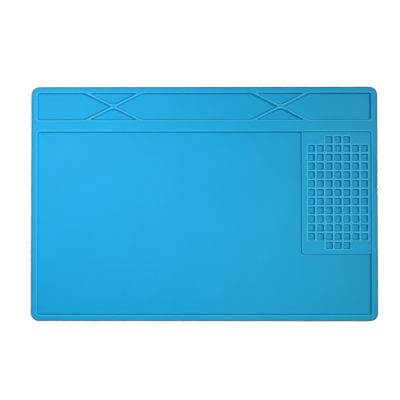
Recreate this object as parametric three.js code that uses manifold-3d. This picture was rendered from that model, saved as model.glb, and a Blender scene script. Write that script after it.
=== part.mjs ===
// Anti-static bench mat: one sheet moulded in silicone rubber, lying on its flat underside.
// A rim runs all round it. Along the far edge lies a long tray that two pairs of crossed ribs
// divide into bays, and a raised panel of square pockets fills the far right corner of the
// sunken work area. Millimetres, +Z up. The origin is on the underside, below the middle of
// the mat; +X runs along its length to the right and +Y to the far edge.

import * as THREE from "three";
import { mergeVertices } from "three/addons/utils/BufferGeometryUtils.js";
import Module from "manifold-3d";

// The sheet
const LENGTH = 340;
const WIDTH = 230;
const FLOOR_THICKNESS = 2.5; // silicone under the work area and the tray
const CORNER_RADIUS = 8;
const EDGE_ROUND = 1; // round along the upper outer edge
const WALL_DRAFT = THREE.MathUtils.degToRad(10); // lean of every moulded wall, so the mat leaves its mould

// The rim, and the band that parts the tray from the work area
const RIM_WIDTH = 6.5;
const RIM_HEIGHT = 2.5; // above the floor
const BAND_WIDTH = 12;
const WORK_CORNER_RADIUS = 2;

// The tray and its crossed ribs
const TRAY_WIDTH = 26;
const TRAY_CORNER_RADIUS = 1.5;
const CROSS_LENGTH = 51.5; // length of tray that one pair of ribs spans, corner to corner
const LEFT_CROSS_INSET = 74.4; // from the tray's left end to the middle of the nearer cross
const RIGHT_CROSS_INSET = 88.7; // from the tray's right end to the middle of the nearer cross
const RIB_WIDTH = 2.5; // across its top

// The raised panel and its square pockets
const PANEL_HEIGHT = 1.5; // above the floor
const PANEL_CORNER_RADIUS = 2.5;
const PANEL_LEFT_MARGIN = 6.4; // from the panel's left edge to the first column
const PANEL_RIGHT_MARGIN = 3.1; // from the last column to the rim
const PANEL_FAR_MARGIN = 4.5; // from the first row to the band
const PANEL_NEAR_MARGIN = 5.1; // from the last row to the panel's near edge
const POCKET_SIZE = 6.6;
const POCKET_SPACING = 2.05; // width of the bar between two pockets
const POCKET_DEPTH = 1.95; // below the panel's top
const POCKET_CORNER_RADIUS = 0.7;
const POCKET_COLUMNS = 7;
const POCKET_ROWS = 13;
const END_ROW_COLUMNS = 3; // the first and the last row hold only this many, in their middle

// Fineness of the round stretches, and how far a cutting tool reaches past what it cuts
const CORNER_STEPS = 3; // half the number of facets on a quarter round
const POCKET_CORNER_STEPS = 1;
const EDGE_STEPS = 3;
const OVERSHOOT = 2;

// Heights and inner edges worked out from the sizes above
const THICKNESS = FLOOR_THICKNESS + RIM_HEIGHT;
const PANEL_TOP = FLOOR_THICKNESS + PANEL_HEIGHT;
const INNER_X = LENGTH / 2 - RIM_WIDTH;
const INNER_Y = WIDTH / 2 - RIM_WIDTH;
const TRAY_NEAR_Y = INNER_Y - TRAY_WIDTH;
const WORK_FAR_Y = TRAY_NEAR_Y - BAND_WIDTH;

const wasm = await Module();
wasm.setup();

// A three.js geometry as a solid that can be joined and cut.
function solidOf(geometry) {
  geometry.deleteAttribute("normal");
  geometry.deleteAttribute("uv");
  const merged = mergeVertices(geometry);
  return new wasm.Manifold(
    new wasm.Mesh({
      numProp: 3,
      vertProperties: merged.attributes.position.array,
      triVerts: merged.index.array,
    }),
  );
}

// A finished solid as a three.js geometry with flat facets.
function geometryOf(solid) {
  const mesh = solid.getMesh();
  const indexed = new THREE.BufferGeometry();
  indexed.setAttribute("position", new THREE.BufferAttribute(mesh.vertProperties, mesh.numProp));
  indexed.setIndex(new THREE.BufferAttribute(mesh.triVerts, 1));
  const faceted = indexed.toNonIndexed();
  faceted.computeVertexNormals();
  return faceted;
}

// A rectangle with four round corners.
function roundedRectangle(left, right, near, far, radius) {
  const outline = new THREE.Shape();
  outline.absarc(right - radius, near + radius, radius, -Math.PI / 2, 0);
  outline.absarc(right - radius, far - radius, radius, 0, Math.PI / 2);
  outline.absarc(left + radius, far - radius, radius, Math.PI / 2, Math.PI);
  outline.absarc(left + radius, near + radius, radius, Math.PI, (3 * Math.PI) / 2);
  outline.closePath();
  return outline;
}

// How far a wall of this height leans.
function leanOf(height) {
  return height * Math.tan(WALL_DRAFT);
}

// The tool that moulds a recess. Its outline is true at height top, and its walls lean in
// to the recess's floor at height floor.
function recessTool(outline, floor, top, steps) {
  const lean = leanOf(top - floor);
  const geometry = new THREE.ExtrudeGeometry(outline, {
    depth: OVERSHOOT,
    curveSegments: steps,
    bevelThickness: top - floor,
    bevelSize: lean,
    bevelOffset: -lean,
    bevelSegments: 1,
  });
  geometry.translate(0, 0, top);
  return solidOf(geometry);
}

// The bare sheet at full thickness, with its upper edge rounded and its lower edge square.
function makeSheet() {
  const outline = roundedRectangle(-LENGTH / 2, LENGTH / 2, -WIDTH / 2, WIDTH / 2, CORNER_RADIUS);
  const geometry = new THREE.ExtrudeGeometry(outline, {
    depth: THICKNESS,
    curveSegments: CORNER_STEPS,
    bevelThickness: EDGE_ROUND,
    bevelSize: EDGE_ROUND,
    bevelOffset: -EDGE_ROUND,
    bevelSegments: EDGE_STEPS,
  });
  geometry.translate(0, 0, -EDGE_ROUND);
  const below = new THREE.BoxGeometry(LENGTH + OVERSHOOT, WIDTH + OVERSHOOT, THICKNESS);
  below.translate(0, 0, -THICKNESS / 2);
  return solidOf(geometry).subtract(solidOf(below));
}

// One straight rib across the tray, with a section that widens down to its foot.
function makeRib(middleX, slope) {
  const crest = RIB_WIDTH / 2;
  const foot = crest + leanOf(RIM_HEIGHT);
  const deep = foot + leanOf(OVERSHOOT);
  const high = crest - leanOf(OVERSHOOT);
  const section = new THREE.Shape([
    new THREE.Vector2(-deep, FLOOR_THICKNESS - OVERSHOOT),
    new THREE.Vector2(deep, FLOOR_THICKNESS - OVERSHOOT),
    new THREE.Vector2(high, THICKNESS + OVERSHOOT),
    new THREE.Vector2(-high, THICKNESS + OVERSHOOT),
  ]);
  const reach = Math.hypot(CROSS_LENGTH, TRAY_WIDTH) + RIM_WIDTH;
  const geometry = new THREE.ExtrudeGeometry(section, { depth: reach, bevelEnabled: false });
  geometry.translate(0, 0, -reach / 2);
  geometry.rotateX(Math.PI / 2);
  geometry.rotateZ(slope * Math.atan2(TRAY_WIDTH, CROSS_LENGTH) - Math.PI / 2);
  geometry.translate(middleX, INNER_Y - TRAY_WIDTH / 2, 0);
  return solidOf(geometry);
}

// The tray, less its two pairs of crossed ribs.
function trayTool() {
  const outline = roundedRectangle(-INNER_X, INNER_X, TRAY_NEAR_Y, INNER_Y, TRAY_CORNER_RADIUS);
  let tool = recessTool(outline, FLOOR_THICKNESS, THICKNESS, CORNER_STEPS);
  for (const middleX of [LEFT_CROSS_INSET - INNER_X, INNER_X - RIGHT_CROSS_INSET]) {
    for (const slope of [1, -1]) {
      tool = tool.subtract(makeRib(middleX, slope));
    }
  }
  return tool;
}

// The middles of all pockets, as [x, y]. The grid hangs in the corner of rim and band.
function pocketMiddles() {
  const pitch = POCKET_SIZE + POCKET_SPACING;
  const lastX = INNER_X - PANEL_RIGHT_MARGIN - POCKET_SIZE / 2;
  const firstY = WORK_FAR_Y - PANEL_FAR_MARGIN - POCKET_SIZE / 2;
  const spare = Math.floor((POCKET_COLUMNS - END_ROW_COLUMNS) / 2);
  const middles = [];
  for (let row = 0; row < POCKET_ROWS; row++) {
    const skip = row === 0 || row === POCKET_ROWS - 1 ? spare : 0;
    for (let column = skip; column < POCKET_COLUMNS - skip; column++) {
      const x = lastX - (POCKET_COLUMNS - 1 - column) * pitch;
      const y = firstY - row * pitch;
      middles.push([x, y]);
    }
  }
  return middles;
}

// The panel as a plain block that runs on into the rim and the band.
function makePanel(middles) {
  const left = middles.reduce((least, [x]) => Math.min(least, x), INNER_X);
  const near = middles.reduce((least, [, y]) => Math.min(least, y), WORK_FAR_Y);
  const spread = leanOf(PANEL_HEIGHT);
  const outline = roundedRectangle(
    left - POCKET_SIZE / 2 - PANEL_LEFT_MARGIN - spread,
    INNER_X + RIM_WIDTH,
    near - POCKET_SIZE / 2 - PANEL_NEAR_MARGIN - spread,
    WORK_FAR_Y + BAND_WIDTH,
    PANEL_CORNER_RADIUS,
  );
  const geometry = new THREE.ExtrudeGeometry(outline, {
    depth: FLOOR_THICKNESS,
    curveSegments: CORNER_STEPS,
    bevelThickness: PANEL_HEIGHT,
    bevelSize: spread,
    bevelOffset: -spread,
    bevelSegments: 1,
  });
  return solidOf(geometry);
}

// The sunken work area, less the raised panel in its corner.
function workTool(panel) {
  const outline = roundedRectangle(-INNER_X, INNER_X, -INNER_Y, WORK_FAR_Y, WORK_CORNER_RADIUS);
  return recessTool(outline, FLOOR_THICKNESS, THICKNESS, CORNER_STEPS).subtract(panel);
}

// One square pocket, sunk from the panel's top.
function pocketTool([x, y]) {
  const half = POCKET_SIZE / 2;
  const outline = roundedRectangle(x - half, x + half, y - half, y + half, POCKET_CORNER_RADIUS);
  return recessTool(outline, PANEL_TOP - POCKET_DEPTH, PANEL_TOP, POCKET_CORNER_STEPS);
}

function makeMat() {
  const middles = pocketMiddles();
  const mat = makeSheet().subtract(trayTool()).subtract(workTool(makePanel(middles)));
  return middles.reduce((rest, middle) => rest.subtract(pocketTool(middle)), mat);
}

const silicone = new THREE.MeshStandardMaterial({
  color: 0x2aa4dc,
  roughness: 0.62,
  metalness: 0,
});

const benchMat = new THREE.Mesh(geometryOf(makeMat()), silicone);
benchMat.name = "bench_mat";

const part = new THREE.Group();
part.add(benchMat);

export default part;
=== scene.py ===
# %% [markdown]
# # A moulded silicone bench mat
#
# The mat is one sheet of silicone rubber, pressed in a mould. A low rim keeps screws from
# rolling off, a long tray with crossed ribs holds the hand tools, and a raised panel is
# full of small square pockets. All of its shape is relief: seen from above, every point of
# the top has exactly one height. So this lesson writes the mat down as a height function,
# lays points where that function bends, and lets a triangulation join them.

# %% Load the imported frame
import math

import bpy
import numpy as np
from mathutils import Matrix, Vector
from mathutils.geometry import delaunay_2d_cdt


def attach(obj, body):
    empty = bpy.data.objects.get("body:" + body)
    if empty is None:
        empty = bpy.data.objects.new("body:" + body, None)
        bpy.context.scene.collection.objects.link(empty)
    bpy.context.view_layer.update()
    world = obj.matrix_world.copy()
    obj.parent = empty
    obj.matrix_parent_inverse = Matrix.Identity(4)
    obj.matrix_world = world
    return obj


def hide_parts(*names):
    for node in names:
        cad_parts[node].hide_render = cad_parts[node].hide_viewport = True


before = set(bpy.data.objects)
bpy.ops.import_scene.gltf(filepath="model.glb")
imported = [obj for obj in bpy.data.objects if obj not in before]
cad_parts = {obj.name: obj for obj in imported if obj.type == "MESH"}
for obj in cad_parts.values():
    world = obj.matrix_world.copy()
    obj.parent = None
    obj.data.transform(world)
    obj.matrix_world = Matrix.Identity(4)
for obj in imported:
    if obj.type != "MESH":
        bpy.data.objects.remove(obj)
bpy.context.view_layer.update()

# %% [markdown]
# ## The sizes
#
# Everything is worked out in millimetres, because that is how a mould is drawn, and turned
# into metres only when the points go into the mesh. The same sizes are in the solid part.
# Only the small rounds are new here. A moulded edge is never sharp, and the thin bright
# or dark line that such a round shows is most of what the eye sees of a low wall.

# %% Sizes in millimetres
MM = 0.001

LENGTH, WIDTH = 340.0, 230.0
RIM_TOP = 5.0
FLOOR = 2.5
CORNER_RADIUS = 8.0
EDGE_ROUND = 1.0          # along the upper outer edge
FOOT_ROUND = 0.4          # along the lower outer edge
DRAFT = math.radians(10)  # lean of every moulded wall

RIM_WIDTH = 6.5
BAND_WIDTH = 12.0
TRAY_WIDTH = 26.0
INNER_X = LENGTH / 2 - RIM_WIDTH
INNER_Y = WIDTH / 2 - RIM_WIDTH
TRAY_NEAR_Y = INNER_Y - TRAY_WIDTH
WORK_FAR_Y = TRAY_NEAR_Y - BAND_WIDTH
WORK_CORNER_RADIUS = 2.0

CROSS_LENGTH = 51.5
LEFT_CROSS_INSET, RIGHT_CROSS_INSET = 74.4, 88.7   # from the tray's ends to the crosses' middles
CROSS_MIDDLES = (LEFT_CROSS_INSET - INNER_X, INNER_X - RIGHT_CROSS_INSET)
RIB_WIDTH = 2.5
BAY_CORNER_RADIUS = 1.5
TIP_RADIUS = 0.3          # in the pointed corners between two ribs, or a rib and a wall
BEND_RADIUS = 9.0         # where a bay's wall bends off along a rib

PANEL_TOP = 4.0
PANEL_CORNER_RADIUS = 2.5
PANEL_LEFT_MARGIN, PANEL_RIGHT_MARGIN = 6.4, 3.1
PANEL_FAR_MARGIN, PANEL_NEAR_MARGIN = 4.5, 5.1
POCKET_SIZE = 6.6
POCKET_PITCH = 8.65
POCKET_DEPTH = 1.95
POCKET_FLOOR = PANEL_TOP - POCKET_DEPTH
POCKET_CORNER_RADIUS = 0.8
POCKET_COLUMNS, POCKET_ROWS = 7, 13
END_ROW_SKIP = 2          # columns left out at each side of the first and the last row

# Rounds at the top and at the foot of each kind of wall
RIM_CREST, RIM_FOOT = 1.1, 0.6
PANEL_CREST, PANEL_FOOT = 0.8, 0.5
POCKET_CREST, POCKET_FOOT = 0.6, 0.45

WEAR_AND_HIGHLIGHT_SHARE = 0.65       # the wear and painted highlight also cover the flat before a crest, over this share of its radius
BAR_WEAR_AND_HIGHLIGHT = 0.6          # and the bars between the pockets, whole and this far past the middle
EDGE_SHADE_REACH = 2.2           # how far in from the outline the painted dark edge reaches

print(f"work area {2 * INNER_X:.0f} x {WORK_FAR_Y + INNER_Y:.0f} mm, {RIM_TOP - FLOOR} mm deep")

# %% [markdown]
# ## An outline with round corners
#
# Every recess has a convex outline: a rectangle, or between the ribs a triangle or a bay
# with pointed ends. An outline is kept as one row of x, y and radius per corner. Two helpers
# are enough for all of them. One walks round the outline at a chosen distance inside it,
# which is how a profile is carried along a path. The other does the reverse and tells for
# any point how deep inside the outline it lies.

# %% Outlines and depths
def inward_normals(outline):
    """One unit vector per side, square to it and pointing in.

    Side i runs from corner i to corner i + 1.
    """
    along = np.roll(outline[:, :2], -1, axis=0) - outline[:, :2]
    along = along / np.linalg.norm(along, axis=1, keepdims=True)
    return np.stack([-along[:, 1], along[:, 0]], axis=1)


def arc_centres(outline, insets):
    """Points inset by their own distance from both sides of each corner.

    A point is corner + (n1 + n2) / (1 + n1.n2) * inset, with n1 and n2 square to the two sides.
    """
    after = inward_normals(outline)
    before = np.roll(after, 1, axis=0)
    spread = 1 + (before * after).sum(axis=1, keepdims=True)
    return outline[:, :2] + (before + after) / spread * insets[:, None]


def outline_loop(outline, depth, steps):
    """Points round the outline at a depth inside it.

    On a corner's arc they are centre + (radius - depth) * (cos a, sin a). Deeper than the
    corner's radius the arc is gone, and all its points fall on the mitred corner.
    """
    after = inward_normals(outline)
    before = np.roll(after, 1, axis=0)
    start = np.arctan2(-before[:, 1], -before[:, 0])
    turn = np.arctan2(
        before[:, 0] * after[:, 1] - before[:, 1] * after[:, 0], (before * after).sum(axis=1)
    )
    angle = start[:, None] + turn[:, None] * np.linspace(0, 1, steps)
    arm = np.stack([np.cos(angle), np.sin(angle)], axis=2)
    centres = arc_centres(outline, np.maximum(outline[:, 2], depth))
    reach = np.maximum(outline[:, 2] - depth, 0)
    return (centres[:, None, :] + reach[:, None, None] * arm).reshape(-1, 2)


def depth_inside(points, outline):
    """How far each point is inside a rounded outline, negative outside it.

    It is the distance to the nearest side. In the fan of a corner's arc it is
    radius - distance to the arc's centre.
    """
    normals = inward_normals(outline)
    along = np.stack([normals[:, 1], -normals[:, 0]], axis=1)
    centres = arc_centres(outline, outline[:, 2])
    side_depths = [(points - corner[:2]) @ normal for corner, normal in zip(outline, normals)]
    depth = np.min(side_depths, axis=0)
    fans = zip(centres, outline[:, 2], np.roll(along, 1, axis=0), along)
    for centre, radius, arriving, leaving in fans:
        away = points - centre
        in_fan = (away @ arriving > 0) & (away @ leaving < 0)
        depth = np.where(in_fan, np.minimum(depth, radius - np.linalg.norm(away, axis=1)), depth)
    return depth


def rectangle(left, right, near, far, radius):
    """The four corners with their radius, counterclockwise from the near left one."""
    corners = [[left, near], [right, near], [right, far], [left, far]]
    return np.array([[x, y, radius] for x, y in corners], float)


sheet = rectangle(-LENGTH / 2, LENGTH / 2, -WIDTH / 2, WIDTH / 2, CORNER_RADIUS)
work_area = rectangle(-INNER_X, INNER_X, -INNER_Y, WORK_FAR_Y, WORK_CORNER_RADIUS)
print(f"the origin lies {depth_inside(np.zeros((1, 2)), work_area)[0]:.1f} mm inside the work area")

# %% [markdown]
# ## The profile of a moulded wall
#
# Cut the mat across any of its walls and the same section shows: a small round at the
# crest, a straight wall that leans ten degrees so that the rubber comes out of the mould,
# and a small hollow round at the foot. Written as height over depth it is three pieces,
# and the whole relief is built from this one function with different heights and rounds.

# %% The wall profile
LEAN = math.tan(DRAFT)
TANGENT = math.tan((math.pi / 2 - DRAFT) / 2)   # a unit round starts this far from its corner
REACH = math.cos(DRAFT)                         # and it spans this much of the depth


def wall(depth, top, bottom, crest, foot):
    """Height of the wall at each depth into its recess.

    Down to the crest's end it is top - crest + sqrt(crest^2 - x^2), with x from the round's
    start. Then it is top - depth / tan(draft), and in the foot it is
    bottom + foot - sqrt(foot^2 - x^2), with x from the round's end. Where the wall is too low
    for both rounds, they shrink alike until they just meet.
    """
    fitting = np.clip((top - bottom) / ((crest + foot) * (1 - math.sin(DRAFT))), 0, 1)
    crest, foot = crest * fitting, foot * fitting
    crest_start = -crest * TANGENT
    foot_end = (top - bottom) * LEAN + foot * TANGENT
    from_crest = np.clip(depth - crest_start, 0, crest * REACH)
    from_foot = np.clip(foot_end - depth, 0, foot * REACH)
    round_top = top - crest + np.sqrt(crest**2 - from_crest**2)
    round_foot = bottom + foot - np.sqrt(foot**2 - from_foot**2)
    straight = top - depth / LEAN
    past_crest = depth > crest_start + crest * REACH
    past_wall = depth > foot_end - foot * REACH
    return np.where(past_wall, round_foot, np.where(past_crest, straight, round_top))


def wall_stations(height, crest, foot, steps):
    """The depths at which the profile is drawn: even turns round both of its arcs.

    One more, on the flat in front of the crest, is where its wear and painted highlight
    have faded out.
    """
    turn = np.sin(np.linspace(0, math.pi / 2 - DRAFT, steps))
    faded = -crest * (TANGENT + WEAR_AND_HIGHLIGHT_SHARE)
    down_foot = (height * LEAN + foot * (TANGENT - turn))[::-1]
    return np.concatenate([[faded], crest * (turn - TANGENT), down_foot])


RIM_STEPS, PANEL_STEPS, POCKET_STEPS = 5, 4, 4   # stations on each of a wall's two rounds

rim_stations = wall_stations(RIM_TOP - FLOOR, RIM_CREST, RIM_FOOT, RIM_STEPS)
print("stations of the rim's wall:", rim_stations.round(2))

# %% [markdown]
# ## The tray's bays
#
# Two ribs cross from corner to corner of a stretch of the tray, twice. It is easier to
# describe what they leave than the ribs themselves: three long bays, and at each cross two
# wedges that join those bays and two flat triangles. A bay's corners are where the rib
# sides meet each other or the tray's walls.

# %% Corners of the bays
TRAY_MIDDLE_Y = INNER_Y - TRAY_WIDTH / 2
RIB_SLOPE = TRAY_WIDTH / CROSS_LENGTH


def rib_side_x(y, middle, lean, side):
    """x of a rib's side at y.

    The lean is +1 for a rib that rises to the right. The side is -1 for left and +1 for right.
    """
    half = RIB_WIDTH / 2 * math.hypot(1, RIB_SLOPE) / RIB_SLOPE
    return middle + lean * (y - TRAY_MIDDLE_Y) / RIB_SLOPE + side * half


def bay_between(left_middle, right_middle):
    """Corners of a bay from cross to cross, with a point towards each.

    None stands for an end of the tray, where the bay is square.
    """
    if left_middle is None:
        left = [[-INNER_X, INNER_Y], [-INNER_X, TRAY_NEAR_Y]]
    else:
        left = [
            [rib_side_x(INNER_Y, left_middle, 1, 1), INNER_Y],
            [rib_side_x(TRAY_MIDDLE_Y, left_middle, 1, 1), TRAY_MIDDLE_Y],
            [rib_side_x(TRAY_NEAR_Y, left_middle, -1, 1), TRAY_NEAR_Y],
        ]
    if right_middle is None:
        right = [[INNER_X, TRAY_NEAR_Y], [INNER_X, INNER_Y]]
    else:
        right = [
            [rib_side_x(TRAY_NEAR_Y, right_middle, 1, -1), TRAY_NEAR_Y],
            [rib_side_x(TRAY_MIDDLE_Y, right_middle, 1, -1), TRAY_MIDDLE_Y],
            [rib_side_x(INNER_Y, right_middle, -1, -1), INNER_Y],
        ]
    return np.array(left + right)


def triangle_at(middle, end):
    """Corners of the triangle between two ribs and the tray's far (end 1) or near (end -1) wall."""
    apex_rise = RIB_WIDTH / 2 * math.hypot(1, RIB_SLOPE)
    half_base = (TRAY_WIDTH / 2 - apex_rise) / RIB_SLOPE
    base_y = TRAY_MIDDLE_Y + end * TRAY_WIDTH / 2
    apex = [middle, TRAY_MIDDLE_Y + end * apex_rise]
    return np.array([apex, [middle + end * half_base, base_y], [middle - end * half_base, base_y]])


POINTED, SLIGHT = -0.01, 0.5   # cosines of a corner's turn: a tip's is below, a slight bend's above


def with_radii(corners):
    """Adds each corner's radius: that of a tip, of a square corner or of a slight bend."""
    after = inward_normals(corners)
    turn_cosine = (after * np.roll(after, 1, axis=0)).sum(axis=1)
    kinds = [turn_cosine < POINTED, turn_cosine > SLIGHT]
    radii = np.select(kinds, [TIP_RADIUS, BEND_RADIUS], BAY_CORNER_RADIUS)
    return np.column_stack([corners, radii])


ends = (None, *CROSS_MIDDLES, None)
bays = [with_radii(bay_between(left, right)) for left, right in zip(ends[:-1], ends[1:])]
bays += [with_radii(triangle_at(middle, end)) for middle in CROSS_MIDDLES for end in (1, -1)]
print(len(bays), "bays with", [len(bay) for bay in bays], "corners")

# %% [markdown]
# ## The pocket grid
#
# The pockets hang in the far right corner of the panel at an even pitch. To find the depth
# of a point in its pocket, the point is moved to the pocket's own middle, so one square
# serves all 83 of them and nothing is worked out 83 times.

# %% Where the pockets are
last_x = INNER_X - PANEL_RIGHT_MARGIN - POCKET_SIZE / 2
first_x = last_x - (POCKET_COLUMNS - 1) * POCKET_PITCH
first_y = WORK_FAR_Y - PANEL_FAR_MARGIN - POCKET_SIZE / 2
last_y = first_y - (POCKET_ROWS - 1) * POCKET_PITCH

has_pocket = np.ones((POCKET_ROWS, POCKET_COLUMNS), bool)
for end_row in (0, -1):
    has_pocket[end_row, :END_ROW_SKIP] = False
    has_pocket[end_row, -END_ROW_SKIP:] = False
pocket_rows, pocket_columns = np.nonzero(has_pocket)
pocket_middles = np.column_stack(
    [first_x + pocket_columns * POCKET_PITCH, first_y - pocket_rows * POCKET_PITCH]
)

half_pocket = POCKET_SIZE / 2
pocket_square = rectangle(
    -half_pocket, half_pocket, -half_pocket, half_pocket, POCKET_CORNER_RADIUS
)


def pocket_depth(points):
    """Depth inside the nearest pocket of the grid, with each point moved by that one's middle.

    Where the grid has no pocket, it is far outside.
    """
    column = np.round((points[:, 0] - first_x) / POCKET_PITCH)
    row = np.round((first_y - points[:, 1]) / POCKET_PITCH)
    column = np.clip(column, 0, POCKET_COLUMNS - 1).astype(int)
    row = np.clip(row, 0, POCKET_ROWS - 1).astype(int)
    middles = np.column_stack([first_x + column * POCKET_PITCH, first_y - row * POCKET_PITCH])
    depth = depth_inside(points - middles, pocket_square)
    return np.where(has_pocket[row, column], depth, -POCKET_SIZE)


print(len(pocket_middles), "pockets")

# %% [markdown]
# ## The height of the mat
#
# The relief is stacked from three layers, in the order in which a toolmaker would cut them.
# First comes the ground of the work area: its floor, with the panel standing on it and the
# pockets sunk into that. Then the rim's wall comes down onto this ground. Where it meets
# the panel it simply stops sooner, so the small round at its foot follows the step of the
# panel without a seam. The tray's bays are cut last, because they touch nothing else.

# %% The height function
panel = rectangle(
    first_x - half_pocket - PANEL_LEFT_MARGIN,
    INNER_X + CORNER_RADIUS,
    last_y - half_pocket - PANEL_NEAR_MARGIN,
    WORK_FAR_Y + CORNER_RADIUS,
    PANEL_CORNER_RADIUS,
)


def ground(points):
    """Height of the work area's floor, with the panel's step and the pockets in its top."""
    outside_panel = -depth_inside(points, panel)
    step = wall(outside_panel, PANEL_TOP, FLOOR, PANEL_CREST, PANEL_FOOT)
    pockets = wall(pocket_depth(points), PANEL_TOP, POCKET_FLOOR, POCKET_CREST, POCKET_FOOT)
    return np.minimum(step, pockets)


def height(points):
    """Height of the top at each point.

    It is the lowest of the rim's wall over the ground, the bays, and the outer edge's round.
    """
    top = wall(depth_inside(points, work_area), RIM_TOP, ground(points), RIM_CREST, RIM_FOOT)
    for bay in bays:
        top = np.minimum(top, wall(depth_inside(points, bay), RIM_TOP, FLOOR, RIM_CREST, RIM_FOOT))
    from_edge = np.clip(EDGE_ROUND - depth_inside(points, sheet), 0, EDGE_ROUND)
    return np.minimum(top, RIM_TOP - EDGE_ROUND + np.sqrt(EDGE_ROUND**2 - from_edge**2))


probes = np.array([[0, 0], [0, 76], [120, -47], pocket_middles[0], [-140, 95]], float)
print("heights of floor, band, panel, pocket and tray:", height(probes).round(3))

# %% [markdown]
# ## Points where the surface bends
#
# A flat floor needs no points at all, and a wall needs many, so an even grid would waste
# almost all of its points. Instead every wall's profile is carried along its outline: each
# station of the profile gives one closed loop. The loops are the only points of the top.
# The panel's step isn't closed, because it runs into the rim at one end and into the band
# at the other, so its lines end a little inside the rim's top.

# %% Loops and lines
CORNER_POINTS = 9         # on each corner of the sheet, the work area and the panel
BAY_POINTS = 6
POCKET_POINTS = 4
EDGE_STEPS, FOOT_STEPS = 6, 4   # stations on the outer edge's upper and lower round
EDGE_SPACING = 0.8        # between points along the straight outer edge
PANEL_OVERRUN = 1.0       # how far the panel's lines go on into the rim and the band


def profile_loops(outline, stations, steps):
    """The profile's stations carried round one outline, as an array of loops."""
    return np.array([outline_loop(outline, depth, steps) for depth in stations])


def fill_straights(loop, spacing):
    """The same loop with extra points on its long segments: start + step * i / pieces."""
    step = np.roll(loop, -1, axis=0) - loop
    pieces = np.maximum(np.ceil(np.linalg.norm(step, axis=1) / spacing), 1).astype(int)
    segment = np.repeat(np.arange(len(loop)), pieces)
    place = np.arange(pieces.sum()) - np.repeat(np.cumsum(pieces) - pieces, pieces)
    return loop[segment] + step[segment] * (place / pieces[segment])[:, None]


half_bar = (POCKET_PITCH - POCKET_SIZE) / 2
across_bar = [-half_bar - BAR_WEAR_AND_HIGHLIGHT, -half_bar]
down_pocket = wall_stations(PANEL_TOP - POCKET_FLOOR, POCKET_CREST, POCKET_FOOT, POCKET_STEPS)
pocket_stations = np.concatenate([across_bar, down_pocket[1:]])
panel_stations = wall_stations(PANEL_TOP - FLOOR, PANEL_CREST, PANEL_FOOT, PANEL_STEPS)
edge_turn = np.linspace(0, math.pi / 2, EDGE_STEPS)
edge_stations = np.append(EDGE_ROUND * (1 - np.cos(edge_turn)), EDGE_SHADE_REACH)

sheet_loops = profile_loops(sheet, edge_stations, CORNER_POINTS)
sheet_loops = np.array([fill_straights(loop, EDGE_SPACING) for loop in sheet_loops])
work_loops = profile_loops(work_area, rim_stations, CORNER_POINTS)
bay_loops = [profile_loops(bay, rim_stations, BAY_POINTS) for bay in bays]
one_pocket = profile_loops(pocket_square, pocket_stations, POCKET_POINTS)
pocket_loops = (pocket_middles[:, None, None, :] + one_pocket).reshape(-1, *one_pocket.shape[1:])

panel_arcs = profile_loops(panel, -panel_stations, CORNER_POINTS)[:, :CORNER_POINTS]
line_count = len(panel_arcs)
far_ends = np.column_stack([panel_arcs[:, 0, 0], np.full(line_count, WORK_FAR_Y + PANEL_OVERRUN)])
right_ends = np.column_stack([np.full(line_count, INNER_X + PANEL_OVERRUN), panel_arcs[:, -1, 1]])
panel_lines = np.concatenate([far_ends[:, None], panel_arcs, right_ends[:, None]], axis=1)

closed = [sheet_loops, work_loops, *bay_loops, pocket_loops]
print(sum(map(len, closed)), "loops and", len(panel_lines), "lines")

# %% [markdown]
# ## Joining the points
#
# A constrained Delaunay triangulation takes the points and the lines between them, keeps
# every line as an edge, and adds a point where two lines cross. That is what makes the
# corners between panel, rim and band come out clean. It could leave the flat floors as
# large polygons, but triangles are what a renderer and an export make of them anyway.

# %% Triangulate the plan of the top
WELD_DIGITS = 4           # points nearer than a ten-thousandth of a millimetre are one


def line_pairs(loops, first, is_closed):
    """Index pairs of neighbouring points.

    Point j of loop i has the index first + i * length + j.
    """
    index = first + np.arange(loops.shape[0] * loops.shape[1]).reshape(loops.shape[:2])
    following = np.roll(index, -1, axis=1)
    if not is_closed:
        index, following = index[:, :-1], following[:, :-1]
    return np.stack([index, following], axis=2).reshape(-1, 2)


plan_parts, pairs, count = [], [], 0
for loops, is_closed in [(loops, True) for loops in closed] + [(panel_lines, False)]:
    plan_parts.append(loops.reshape(-1, 2))
    pairs.append(line_pairs(loops, count, is_closed))
    count += loops.shape[0] * loops.shape[1]
plan, welded = np.unique(np.concatenate(plan_parts).round(WELD_DIGITS), axis=0, return_inverse=True)
pairs = welded.ravel()[np.concatenate(pairs)]
pairs = pairs[pairs[:, 0] != pairs[:, 1]]

INSIDE_ONLY = 1           # keep the triangles inside the outermost loop
found = delaunay_2d_cdt(plan.tolist(), pairs.tolist(), [], INSIDE_ONLY, 10.0**-WELD_DIGITS / 2)
top_plan = np.array([tuple(point) for point in found[0]])
triangles = np.array(found[2])
print(len(plan), "points gave", len(top_plan), "after crossings, and", len(triangles), "triangles")

# %% [markdown]
# ## Lifting the top and closing the sheet
#
# The plan is lifted by the height function in one step. Round the outside the sheet drops
# straight down to a small round at its foot and a flat underside. The mat is trimmed by
# hand from the press, so its outer edge isn't a ruler's line: it wanders by a tenth of a
# millimetre or two, always to the inside, so that the mat keeps its size. Use has torn a
# few small nicks into its right edge.

# %% Heights, side and underside
WANDER = 0.08             # how far the trimmed edge strays to each side of its mean
WANDER_RAMP = 4.0         # it fades out over this width of the rim
WAVES = ((11.5, 0.35), (4.7, 0.35), (1.3, 0.30))   # each one's length over 2 pi, and its share

# Each nick's y, depth and half width
NICKS = np.array([[45.0, 0.30, 0.9], [27.3, 0.35, 0.7], [16.4, 0.65, 0.9], [10.5, 0.45, 0.7]])


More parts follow.
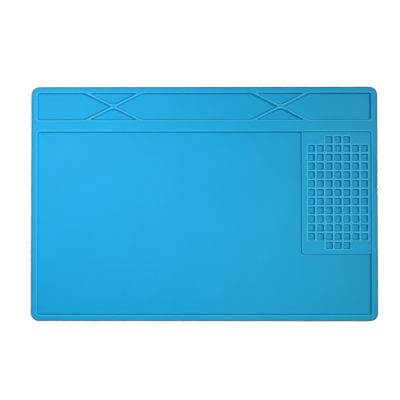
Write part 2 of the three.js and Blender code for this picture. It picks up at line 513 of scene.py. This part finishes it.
def trimmed(points):
    """Moves each coordinate towards the middle by WANDER * (1 + sines of the other one).

    The move fades out over the rim. On the right side a nick adds
    depth * exp(-((y - its y) / half width)^2).
    """
    half = np.array([LENGTH / 2, WIDTH / 2])
    fade = np.clip(1 - (half - np.abs(points)) / WANDER_RAMP, 0, 1)
    edge = points[:, ::-1] + LENGTH * np.sign(points)
    inward = WANDER * (1 + sum(share * np.sin(edge / length) for length, share in WAVES))
    nicks = NICKS[:, 1] * np.exp(-(((points[:, 1:] - NICKS[:, 0]) / NICKS[:, 2]) ** 2))
    inward[:, 0] += np.where(points[:, 0] > 0, nicks.sum(axis=1), 0)
    return points - np.sign(points) * inward * fade


edge_count = sheet_loops.shape[1]
rounded_plan = top_plan.round(WELD_DIGITS).tolist()
index_of = {tuple(point): index for index, point in enumerate(rounded_plan)}
rounded_edge = sheet_loops[0].round(WELD_DIGITS).tolist()
outer_ring = np.array([index_of[tuple(point)] for point in rounded_edge])

foot_turn = np.linspace(0, math.pi / 2, FOOT_STEPS)
foot_insets = FOOT_ROUND * (1 - np.cos(foot_turn))
foot_heights = FOOT_ROUND * (1 - np.sin(foot_turn))
foot_rings = profile_loops(sheet, foot_insets, CORNER_POINTS)
foot_rings = np.array([fill_straights(ring, EDGE_SPACING) for ring in foot_rings])

top_points = np.column_stack([trimmed(top_plan), height(top_plan)])
foot_plan = trimmed(foot_rings.reshape(-1, 2))
foot_points = np.column_stack([foot_plan, np.repeat(foot_heights, edge_count)])
points = np.concatenate([top_points, foot_points])

foot_indices = len(top_points) + np.arange(len(foot_points)).reshape(-1, edge_count)
rings = np.vstack([outer_ring, foot_indices])
upper, lower = rings[:-1], rings[1:]
side_corners = [upper, lower, np.roll(lower, -1, axis=1), np.roll(upper, -1, axis=1)]
side_faces = np.stack(side_corners, axis=2).reshape(-1, 4)
underside = rings[-1][::-1]
print(len(points), "points,", len(triangles) + len(side_faces) + 1, "faces")
print("lowest and highest z:", points[:, 2].min(), points[:, 2].max(), "mm")

# %% [markdown]
# ## Smooth shading from the true slope
#
# Blender can average the faces' directions at each point, but next to a round the large
# flat faces then look slightly tilted. The height function knows better. Its slope gives
# the exact direction at every point, so the mesh carries those normals.

# %% Normals
SLOPE_STEP = 1e-3         # half the stretch over which the slope is measured, in millimetres


def top_normals(plan):
    """Unit vectors along (-dh/dx, -dh/dy, 1), with central differences of the height as slopes."""
    steps = SLOPE_STEP * np.eye(2)
    slopes = [(height(plan + step) - height(plan - step)) / (2 * SLOPE_STEP) for step in steps]
    normals = np.column_stack([-slopes[0], -slopes[1], np.ones(len(plan))])
    return normals / np.linalg.norm(normals, axis=1, keepdims=True)


def outward(loop):
    """Unit vectors square to a loop: the step between its neighbours, turned a quarter outwards."""
    along = np.roll(loop, -1, axis=0) - np.roll(loop, 1, axis=0)
    away = np.column_stack([along[:, 1], -along[:, 0]])
    return away / np.linalg.norm(away, axis=1, keepdims=True)


edge_out = outward(sheet_loops[0])
upper_normals = top_normals(top_plan)
upper_normals[outer_ring] = np.column_stack([edge_out, np.zeros(edge_count)])
foot_normals = [
    np.column_stack([math.cos(turn) * edge_out, np.full(edge_count, -math.sin(turn))])
    for turn in foot_turn
]
normals = np.concatenate([upper_normals, *foot_normals])
print("mean normal of the top:", upper_normals.mean(axis=0).round(3))

# %% [markdown]
# ## Where the mat is painted lighter or darker
#
# Hands and tools polish the crests of a rubber mat, and a thin lighter line runs along each
# of them: partly that wear, and partly a painted highlight where a crest's round meets the
# light. The walls below are painted darker, as painted shade. The outer edge and the sides
# are painted dark grey, as a painted shadow outline. All three are kept as one number per
# point, which the material reads further on. The numbers only change where the mesh has
# stations, so no streak can cross a flat.

# %% Worn and highlighted crests, painted shade on the walls and a painted dark edge
CREST_WEAR_AND_HIGHLIGHT = 0.4        # how much lighter a crest is painted where its round starts: wear and painted highlight
POCKET_WEAR_AND_HIGHLIGHT = 0.5       # and a pocket's crest, painted lighter with the bar beside it
EDGE_SHADE_GAIN = 1.25           # above 1, so that the outermost strip is painted fully dark


def wear_and_highlight_of(crest):
    """Depths and shares of the wear and painted highlight: most where the crest's round
    starts, none before it and half round it.
    """
    start = -crest * TANGENT
    return [start - WEAR_AND_HIGHLIGHT_SHARE * crest, start, start + crest / 2], [0, CREST_WEAR_AND_HIGHLIGHT, 0]


def wall_shade_of(drop, crest, foot):
    """Depths and shares of the painted shade on the walls: all on the wall, none where the
    crest starts and where the foot ends.
    """
    start, end = -crest * TANGENT, drop * LEAN + foot * TANGENT
    return [start, start + crest / 2, end - foot / 2, end], [0, 1, 1, 0]


def along_walls(rim, step, pocket):
    """The greatest share that any wall gives each point of the plan, read off at its depth."""
    inside_work = depth_inside(top_plan, work_area)
    on_ground = np.maximum(
        np.interp(-depth_inside(top_plan, panel), *step),
        np.interp(pocket_depth(top_plan), *pocket),
    )
    found_shares = [np.where(inside_work > 0, on_ground, 0), np.interp(inside_work, *rim)]
    found_shares += [np.interp(depth_inside(top_plan, bay), *rim) for bay in bays]
    return np.max(found_shares, axis=0)


pocket_start = -POCKET_CREST * TANGENT
# the bars between the pockets are painted lighter: painted highlight, partly wear
bar_wear_and_highlight = (
    [*across_bar, pocket_start, pocket_start + POCKET_CREST / 2],
    [0, CREST_WEAR_AND_HIGHLIGHT, POCKET_WEAR_AND_HIGHLIGHT, 0],
)
# lighter along the crests: partly wear, partly painted highlight
wear_and_highlight = along_walls(wear_and_highlight_of(RIM_CREST), wear_and_highlight_of(PANEL_CREST), bar_wear_and_highlight)
# painted shade on every wall, between crest and foot
wall_shade = along_walls(
    wall_shade_of(RIM_TOP - FLOOR, RIM_CREST, RIM_FOOT),
    wall_shade_of(PANEL_TOP - FLOOR, PANEL_CREST, PANEL_FOOT),
    wall_shade_of(PANEL_TOP - POCKET_FLOOR, POCKET_CREST, POCKET_FOOT),
)
# painted shadow outline: darkest at the outer edge, fading over the rim; the sides are fully dark
edge_shade = np.clip(EDGE_SHADE_GAIN * (1 - depth_inside(top_plan, sheet) / EDGE_SHADE_REACH), 0, 1)

foot_count = len(foot_points)
shares = {
    "wear_and_highlight": np.append(wear_and_highlight, np.zeros(foot_count)),
    "wall_shade": np.append(wall_shade, np.zeros(foot_count)),
    "edge_shade": np.append(edge_shade, np.ones(foot_count)),
}
print("greatest shares:", {name: float(values.max()) for name, values in shares.items()})

# %% [markdown]
# ## The mat as one object
#
# The real mat comes out of its mould in one piece, so the points and faces go into one mesh.
# The object stays at the origin and the mat's place is in the mesh, as it is in the solid
# part. It rides on the only body and takes the place of the plain solid.

# %% The mat as one object
faces = triangles.tolist() + side_faces.tolist() + [underside.tolist()]
mesh = bpy.data.meshes.new("moulded_mat")
mesh.from_pydata((points * MM).tolist(), [], faces)
mesh.shade_smooth()
mesh.normals_split_custom_set_from_vertices(normals.tolist())
for name, values in shares.items():
    mesh.attributes.new(name, "FLOAT", "POINT").data.foreach_set("value", values)
mesh.validate()
moulded_mat = bpy.data.objects.new("moulded_mat", mesh)
bpy.context.scene.collection.objects.link(moulded_mat)
print(len(mesh.polygons), "faces;", sum(1 for edge in mesh.edges if edge.is_loose), "loose edges")

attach(moulded_mat, "root")
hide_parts("bench_mat")

# %% [markdown]
# ## Writing shaders as sums
#
# A node tree is a formula with wires. Wrapping a socket in a small class lets the formula
# be written as one: adding or multiplying two wires adds the Math node that does it.

# %% A wire that Python can calculate with
class Wire:
    """An output socket of the material that is being made. Python's + - * on it add Math nodes."""

    tree = None

    def __init__(self, socket):
        self.socket = socket

    @classmethod
    def node(cls, kind, settings=None, inputs=None, output=0):
        """Adds a node and gives its chosen output.

        Its settings are made first, and then each named socket gets its value or its wire.
        """
        added = cls.tree.nodes.new(kind)
        for name, value in (settings or {}).items():
            setattr(added, name, value)
        for name, value in (inputs or {}).items():
            if isinstance(value, Wire):
                cls.tree.links.new(value.socket, added.inputs[name])
            else:
                added.inputs[name].default_value = value
        return cls(added.outputs[output])

    @classmethod
    def maths(cls, operation, first, second):
        """Adds a Math node that works on two numbers or wires."""
        return cls.node("ShaderNodeMath", {"operation": operation}, {0: first, 1: second})

    def __add__(self, other):
        return self.maths("ADD", self, other)

    def __sub__(self, other):
        return self.maths("SUBTRACT", self, other)

    def __rsub__(self, other):
        return self.maths("SUBTRACT", other, self)

    def __mul__(self, other):
        return self.maths("MULTIPLY", self, other)

    __radd__ = __add__
    __rmul__ = __mul__


def new_material(name):
    """An empty node material, on whose tree Wire now builds."""
    material = bpy.data.materials.new(name)
    material.use_nodes = True
    material.node_tree.nodes.clear()
    Wire.tree = material.node_tree
    return material


def show_on(piece, material, surface):
    """Ends the material with this surface and puts it on a piece as its only material."""
    end = material.node_tree.nodes.new("ShaderNodeOutputMaterial")
    material.node_tree.links.new(surface.socket, end.inputs["Surface"])
    piece.data.materials.clear()
    piece.data.materials.append(material)


def noise(place, per_metre, detail=2.0, roughness=0.5):
    """Smooth noise from 0 to 1 about one half, with so many lumps to a metre."""
    inputs = {"Vector": place, "Scale": per_metre, "Detail": detail, "Roughness": roughness}
    return Wire.node("ShaderNodeTexNoise", inputs=inputs)


def blend_colours(share, first, second):
    """The first colour where share is 0 and the second where it is 1."""
    inputs = {0: share, 6: first, 7: second}
    return Wire.node("ShaderNodeMix", {"data_type": "RGBA", "clamp_factor": True}, inputs, output=2)


# %% [markdown]
# ## Silicone rubber
#
# The mat is dyed all through, so its colour hardly varies: only where the pigment is mixed
# a little unevenly does a cloudy patch a few centimetres wide show. The mould is etched,
# which gives the skin a fine matt grain. Both are noises on the object's own coordinates,
# at their true sizes, so they stay with the mat from every side. The shares from the mesh
# blend their colours over the dye: a lighter blue on the crests, partly wear and partly a
# painted highlight, a darker blue on the walls as painted shade, and a dark grey on the
# outer edge and sides as a painted shadow outline.

# %% The silicone material
CLOUDS, SPECKS, GRAIN = 22, 260, 2600           # lumps to a metre, in the dye and on the skin
RIPPLES, EDGE_SHADE_MOTTLE = 45, 170                        # and in the slack sheet and the painted dark edge
GRAIN_DEPTH, RIPPLE_DEPTH = 0.00002, 0.00012    # metres

DEEP_BLUE = (0.004, 0.315, 0.600, 1)
CLEAR_BLUE = (0.006, 0.365, 0.680, 1)
# lighter blue of the crests and bars: partly wear, partly painted highlight
WORN_AND_HIGHLIGHT_BLUE = (0.090, 0.660, 0.990, 1)
# painted shade on the walls
WALL_SHADE_BLUE = (0.004, 0.180, 0.330, 1)
# painted shadow outline on the outer edge and sides
EDGE_SHADE_GREY = (0.040, 0.085, 0.095, 1)

silicone = new_material("silicone")
place = Wire.node("ShaderNodeTexCoord", output="Object")
wear_and_highlight_here, wall_shade_here, edge_shade_here = [
    Wire.node("ShaderNodeAttribute", {"attribute_name": name}, output="Fac") for name in shares
]

clouds = noise(place, CLOUDS, detail=3)
specks = noise(place, SPECKS)
grain = noise(place, GRAIN, roughness=0.6)
ripple = noise(place, RIPPLES, detail=1)
edge_shade_mottle = noise(place, EDGE_SHADE_MOTTLE, detail=3, roughness=0.7)

dyed = blend_colours(clouds * 0.8 + specks * 0.3 - 0.05, DEEP_BLUE, CLEAR_BLUE)
# painted highlight on the crests and bars, partly their wear
worn_and_highlighted = blend_colours(wear_and_highlight_here, dyed, WORN_AND_HIGHLIGHT_BLUE)
# painted shade on the walls
wall_shaded = blend_colours(wall_shade_here * (0.2 + clouds * 0.3), worn_and_highlighted, WALL_SHADE_BLUE)
# painted shadow outline on the outer edge and sides
colour = blend_colours(edge_shade_here * (0.3 + edge_shade_mottle * 1.1), wall_shaded, EDGE_SHADE_GREY)
roughness = 0.42 + clouds * 0.1 + grain * 0.06 - wear_and_highlight_here * 0.12

skin = Wire.node(
    "ShaderNodeBump", inputs={"Strength": 1.0, "Distance": GRAIN_DEPTH, "Height": grain}
)
soft = Wire.node(
    "ShaderNodeBump",
    inputs={"Strength": 1.0, "Distance": RIPPLE_DEPTH, "Height": ripple, "Normal": skin},
)
rubber = Wire.node(
    "ShaderNodeBsdfPrincipled",
    inputs={
        "Base Color": colour,
        "Roughness": roughness,
        "Specular IOR Level": 0.15,
        "Normal": soft,
    },
)
show_on(moulded_mat, silicone, rubber)
print(len(silicone.node_tree.nodes), "nodes in the silicone")

# %% [markdown]
# ## The floor
#
# The photograph is taken against pure white. A white floor under lamps alone turns grey
# wherever less light falls on it, so this sheet of paper also glows a little by itself, as
# on a light table. It fills the picture from above and reaches far to every side.

# %% The floor
FLOOR_GAP = 0.05          # under the mat, so that the two surfaces aren't in one plane
FLOOR_HALF = 2500.0
PAPER_GLOW = 0.45
PAPER_TOOTH = 900         # lumps to a metre

square = np.array([[-1, -1, 0], [1, -1, 0], [1, 1, 0], [-1, 1, 0]])
corners = square * FLOOR_HALF - [0, 0, FLOOR_GAP]
floor_mesh = bpy.data.meshes.new("floor")
floor_mesh.from_pydata((corners * MM).tolist(), [], [[0, 1, 2, 3]])
floor = bpy.data.objects.new("floor", floor_mesh)
bpy.context.scene.collection.objects.link(floor)

paper = new_material("paper")
tooth = noise(Wire.node("ShaderNodeTexCoord", output="Object"), PAPER_TOOTH)
white = blend_colours(tooth, (0.9, 0.9, 0.9, 1), (0.93, 0.93, 0.93, 1))
lit_paper = Wire.node(
    "ShaderNodeBsdfPrincipled",
    inputs={
        "Base Color": white,
        "Roughness": 1.0,
        "Specular IOR Level": 0.0,
        "Emission Color": (1, 1, 1, 1),
        "Emission Strength": PAPER_GLOW,
    },
)
show_on(floor, paper, lit_paper)

# %% [markdown]
# ## The camera
#
# It hangs half a metre over the mat and looks down with less than a degree of tilt, which
# shows in how the mat's edges run towards each other. Its place and tilt are worked out
# from where the mat's four corners lie in the photograph.

# %% The camera
CAMERA_PLACE = (-0.00141, -0.00292, 0.53419)    # metres
CAMERA_TILT = (0.7052, 0.2929, -0.0352)         # degrees about x, y and z
LENS, SENSOR = 48.64, 36                        # millimetres

camera_data = bpy.data.cameras.new("camera")
camera_data.sensor_width = SENSOR
camera_data.lens = LENS
camera_data.clip_start = 0.01
camera = bpy.data.objects.new("camera", camera_data)
camera.location = CAMERA_PLACE
camera.rotation_euler = [math.radians(angle) for angle in CAMERA_TILT]
bpy.context.scene.collection.objects.link(camera)
bpy.context.scene.camera = camera
print("camera", [round(c, 3) for c in camera.location], "m, lens", camera_data.lens, "mm")

# %% [markdown]
# ## The lights
#
# Low relief shows only in slanting light. A small soft box over the left keeps that side
# the brightest, as in the photograph, and a larger, warmer one on the right draws the
# walls. Two spots with wide soft rims fill in: one reaches across to the left, and one hangs
# above the near right corner.

# %% The lights
COOL, WARM = (0.88, 0.93, 1.0), (1.0, 0.97, 0.82)
SPOT_RADIUS = 0.15        # metres, large enough for soft shadows


def hang(name, lamp, place, power, tint, aim=(0, 0, 0)):
    """Hangs a lamp at a place in metres, and turns it to the point that it aims at."""
    lamp.energy = power
    lamp.color = tint
    stand = bpy.data.objects.new(name, lamp)
    stand.location = place
    stand.rotation_euler = (Vector(aim) - stand.location).to_track_quat("-Z", "Y").to_euler()
    bpy.context.scene.collection.objects.link(stand)


def soft_box(name, place, size, power, tint):
    """A square lamp, so many metres wide, turned to the mat's middle."""
    lamp = bpy.data.lights.new(name, "AREA")
    lamp.size = size
    hang(name, lamp, place, power, tint)


def soft_spot(name, place, aim, cone, power, tint):
    """A spot with a wide soft rim. Its cone is the full angle in degrees."""
    lamp = bpy.data.lights.new(name, "SPOT")
    lamp.spot_size = math.radians(cone)
    lamp.spot_blend = 1.0
    lamp.shadow_soft_size = SPOT_RADIUS
    hang(name, lamp, place, power, tint, aim)


soft_box("over_left", (-0.325, 0.188, 0.650), size=0.3, power=2.3, tint=COOL)
soft_box("from_right", (0.906, 0.330, 1.149), size=0.5, power=10.0, tint=WARM)
across, far_left = (0.603, -0.395, 0.966), (-0.20, 0.06, 0)
above, near_right = (0.15, -0.12, 1.2), (0.13, -0.09, 0)
soft_spot("across_to_left", across, aim=far_left, cone=25, power=50, tint=COOL)
soft_spot("above_near_right", above, aim=near_right, cone=26, power=9, tint=WARM)

# %% [markdown]
# ## The backdrop
#
# The room round the table is a pale backdrop that ends in the dark some thirty degrees up.
# Seen from the side it gives the mat a light ground, and it hardly lights what lies flat.

# %% The backdrop
BACKDROP, CEILING = 0.8, 0.02                       # brightness at the horizon and overhead
BACKDROP_FULL, BACKDROP_ENDS = 0.15, 0.5            # sines of the angles between which it fades

world = bpy.data.worlds.new("studio")
world.use_nodes = True
Wire.tree = world.node_tree
direction = Wire.node("ShaderNodeTexCoord", output="Generated")
upward = Wire.node("ShaderNodeSeparateXYZ", inputs={"Vector": direction}, output="Z")
fades = {"From Min": BACKDROP_FULL, "From Max": BACKDROP_ENDS}
levels = {"To Min": BACKDROP, "To Max": CEILING}
smooth = {"interpolation_type": "SMOOTHSTEP"}
brightness = Wire.node("ShaderNodeMapRange", smooth, {"Value": upward, **fades, **levels})
background = world.node_tree.nodes["Background"]
background.inputs["Color"].default_value = (1, 1, 1, 1)
world.node_tree.links.new(brightness.socket, background.inputs["Strength"])
bpy.context.scene.world = world
bpy.context.scene.view_settings.view_transform = "Standard"
